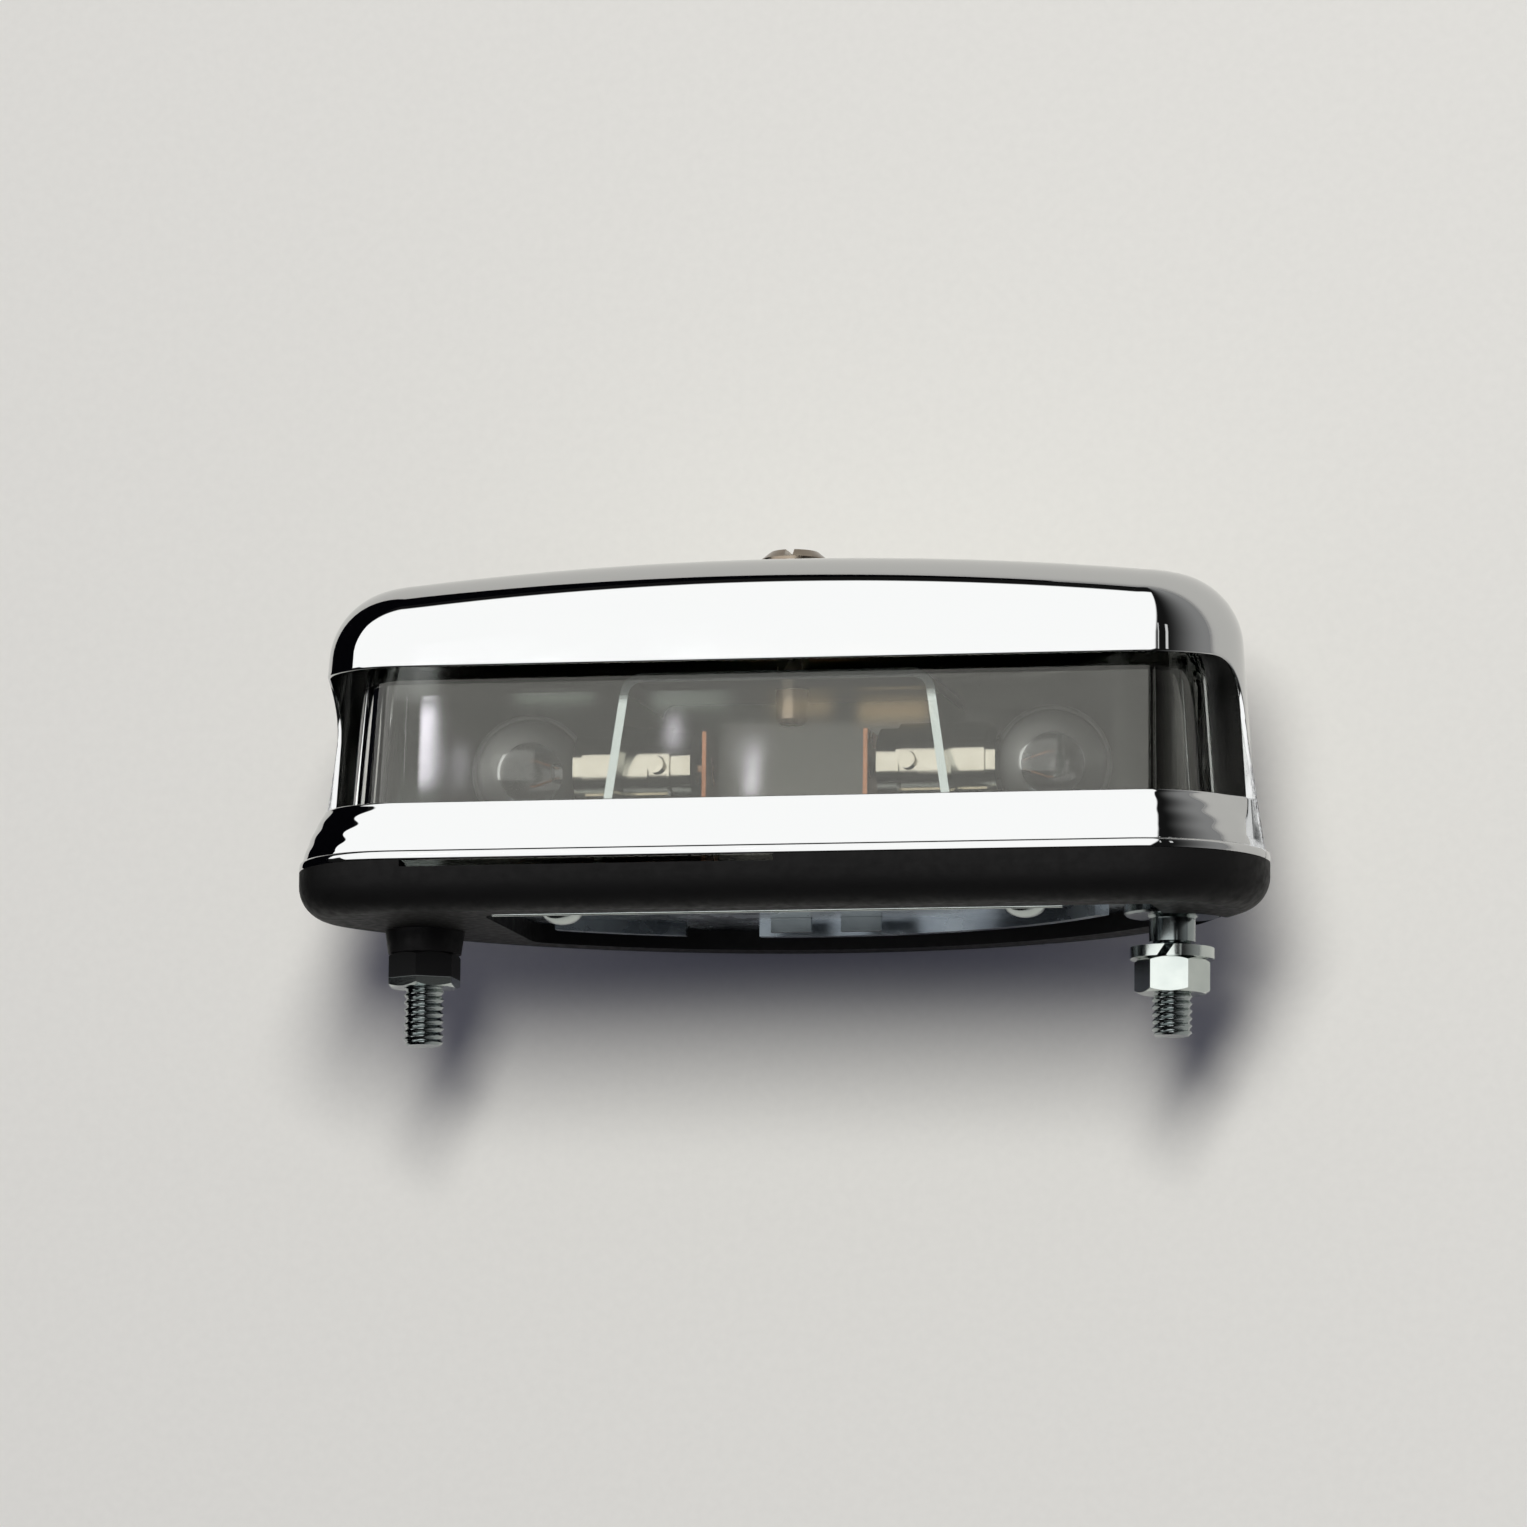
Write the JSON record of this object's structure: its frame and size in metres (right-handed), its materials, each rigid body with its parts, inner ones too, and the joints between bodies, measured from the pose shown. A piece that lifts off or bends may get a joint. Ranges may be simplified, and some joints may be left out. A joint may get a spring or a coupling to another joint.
{
  "type": "number plate lamp",
  "caption": "Half-moon chrome lamp with a clear wrap-round window, bayonet bulbs on a folded bracket, a rubber base gasket and fixing studs; it lights a number plate.",
  "frame": {"origin": "on the gasket's mounting face, midway between the two fixing studs", "axes": "+X along the lamp's length, +Y away from the panel towards the crown, +Z out of the window; the studs point along -Y"},
  "size_m": [0.114, 0.0572, 0.0538],
  "materials": {
    "chrome": "bright polished plating",
    "rubber": "moulded, satin",
    "clear_lens": "clear, smooth",
    "bulb_glass": "clear, blown",
    "zinc": "bright zinc plating",
    "nickel": "nickel plating, slightly warm",
    "copper": "bare rolled copper alloy",
    "fibre": "laminated fibre board",
    "dark_glass": "glossy dark glass"
  },
  "bodies": {
    "root": {"base_plate": "zinc", "bracket_rivet_left": "zinc", "bracket_rivet_right": "zinc", "bulb_bracket": "zinc", "bulb_cap_left": "nickel", "bulb_cap_right": "nickel", "bulb_contact_left": "nickel", "bulb_contact_right": "nickel", "bulb_globe_left": "bulb_glass", "bulb_globe_right": "bulb_glass", "bulb_insulator_left": "dark_glass", "bulb_insulator_right": "dark_glass", "bulb_stem_left": "bulb_glass", "bulb_stem_right": "bulb_glass", "contact_blade_left": "copper", "contact_blade_right": "copper", "contact_insulator": "fibre", "cover": "chrome", "cover_screw": "zinc", "earth_terminal": "zinc", "feed_terminal": "zinc", "gasket": "rubber", "holder_sleeve_left": "nickel", "holder_sleeve_right": "nickel", "lens": "clear_lens", "nut_left": "zinc", "nut_right": "zinc", "spring_washer": "zinc", "stud_left": "zinc", "stud_right": "zinc"}
  },
  "joints": []
}
